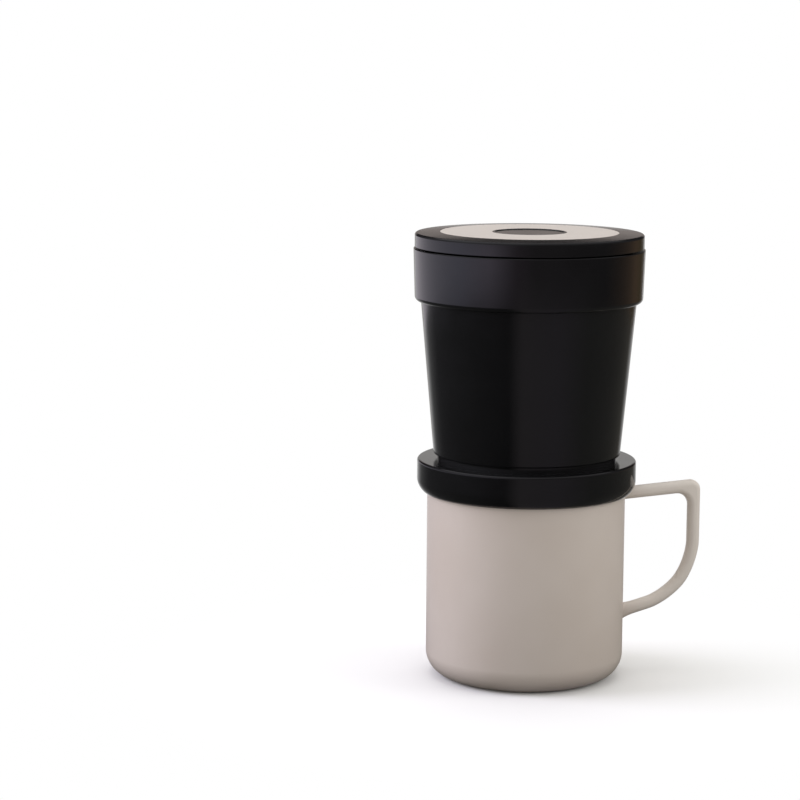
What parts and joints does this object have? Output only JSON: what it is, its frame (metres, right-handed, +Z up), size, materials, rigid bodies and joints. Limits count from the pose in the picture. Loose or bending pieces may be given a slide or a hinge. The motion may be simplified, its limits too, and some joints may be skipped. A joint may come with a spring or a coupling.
{
  "type": "drip coffee maker",
  "caption": "One-cup drip coffee maker: a lidded black dripper with a lift-out gauze filter and water spreader, standing by its flange on a glazed porcelain mug with a slim D-shaped handle.",
  "frame": {"origin": "centre of the mug's foot, on the surface it stands on", "axes": "+Z up along the common axis of mug and dripper, +X from the axis towards the mug's handle"},
  "size_m": [0.1235, 0.0934, 0.182],
  "materials": {
    "porcelain": "gloss",
    "gloss_black": "gloss",
    "satin_black": "satin",
    "silicone": "matte",
    "cream_plate": "satin",
    "gauze": "satin"
  },
  "bodies": {
    "mug": {"mug_cup": "porcelain", "mug_handle": "porcelain"},
    "dripper": {"base_flange": "gloss_black", "rim_gasket": "silicone", "dripper_shell": "gloss_black"},
    "filter": {"filter_basket": "satin_black", "basket_seal": "silicone", "collar_band": "gloss_black", "spoke_frame": "satin_black", "mesh_screen": "gauze", "clamp_ring": "satin_black"},
    "spreader": {"spreader_cup": "satin_black", "spreader_knob": "satin_black"},
    "lid": {"lid_cover": "gloss_black", "lid_plate": "cream_plate", "lid_boss": "gloss_black", "lid_liner": "satin_black", "lid_seal": "silicone"}
  },
  "joints": [
    {"name": "dripper_lift", "type": "slide", "parent": "mug", "child": "dripper", "axis": [0, 0, 1], "range_m": [0, 0.07]},
    {"name": "filter_lift", "type": "slide", "parent": "dripper", "child": "filter", "axis": [0, 0, 1], "range_m": [0, 0.1]},
    {"name": "spreader_lift", "type": "slide", "parent": "filter", "child": "spreader", "axis": [0, 0, 1], "range_m": [0, 0.05]},
    {"name": "lid_lift", "type": "slide", "parent": "spreader", "child": "lid", "axis": [0, 0, 1], "range_m": [0, 0.05]}
  ]
}
